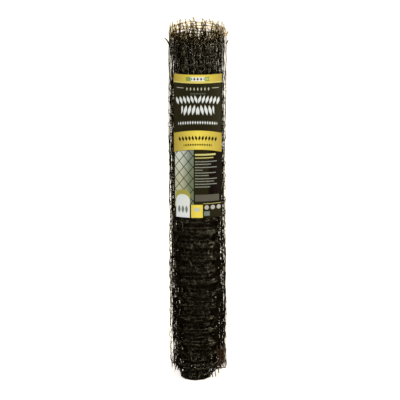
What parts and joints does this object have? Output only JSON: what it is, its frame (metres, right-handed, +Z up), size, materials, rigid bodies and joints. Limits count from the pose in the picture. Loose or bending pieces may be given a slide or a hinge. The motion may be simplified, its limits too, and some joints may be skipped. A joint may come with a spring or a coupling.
{
  "type": "plastic netting roll",
  "caption": "Upright roll of black plastic netting wound round an open eye, its last turn sprung loose, with a bowed printed card on its front.",
  "frame": {"origin": "on the floor under the roll, on the axis that the netting is wound about", "axes": "+Z up along the roll's axis, -Y towards the front, where the printed card is"},
  "size_m": [0.1494, 0.14, 0.9514],
  "materials": {
    "black_netting": "extruded polypropylene, warm black, satin, slightly see-through where it is thin",
    "printed_card": "varnished card printed in gold, warm black, cream and green-grey"
  },
  "bodies": {
    "root": {"netting_roll": "black_netting", "loose_turn": "black_netting", "label": "printed_card"}
  },
  "joints": []
}
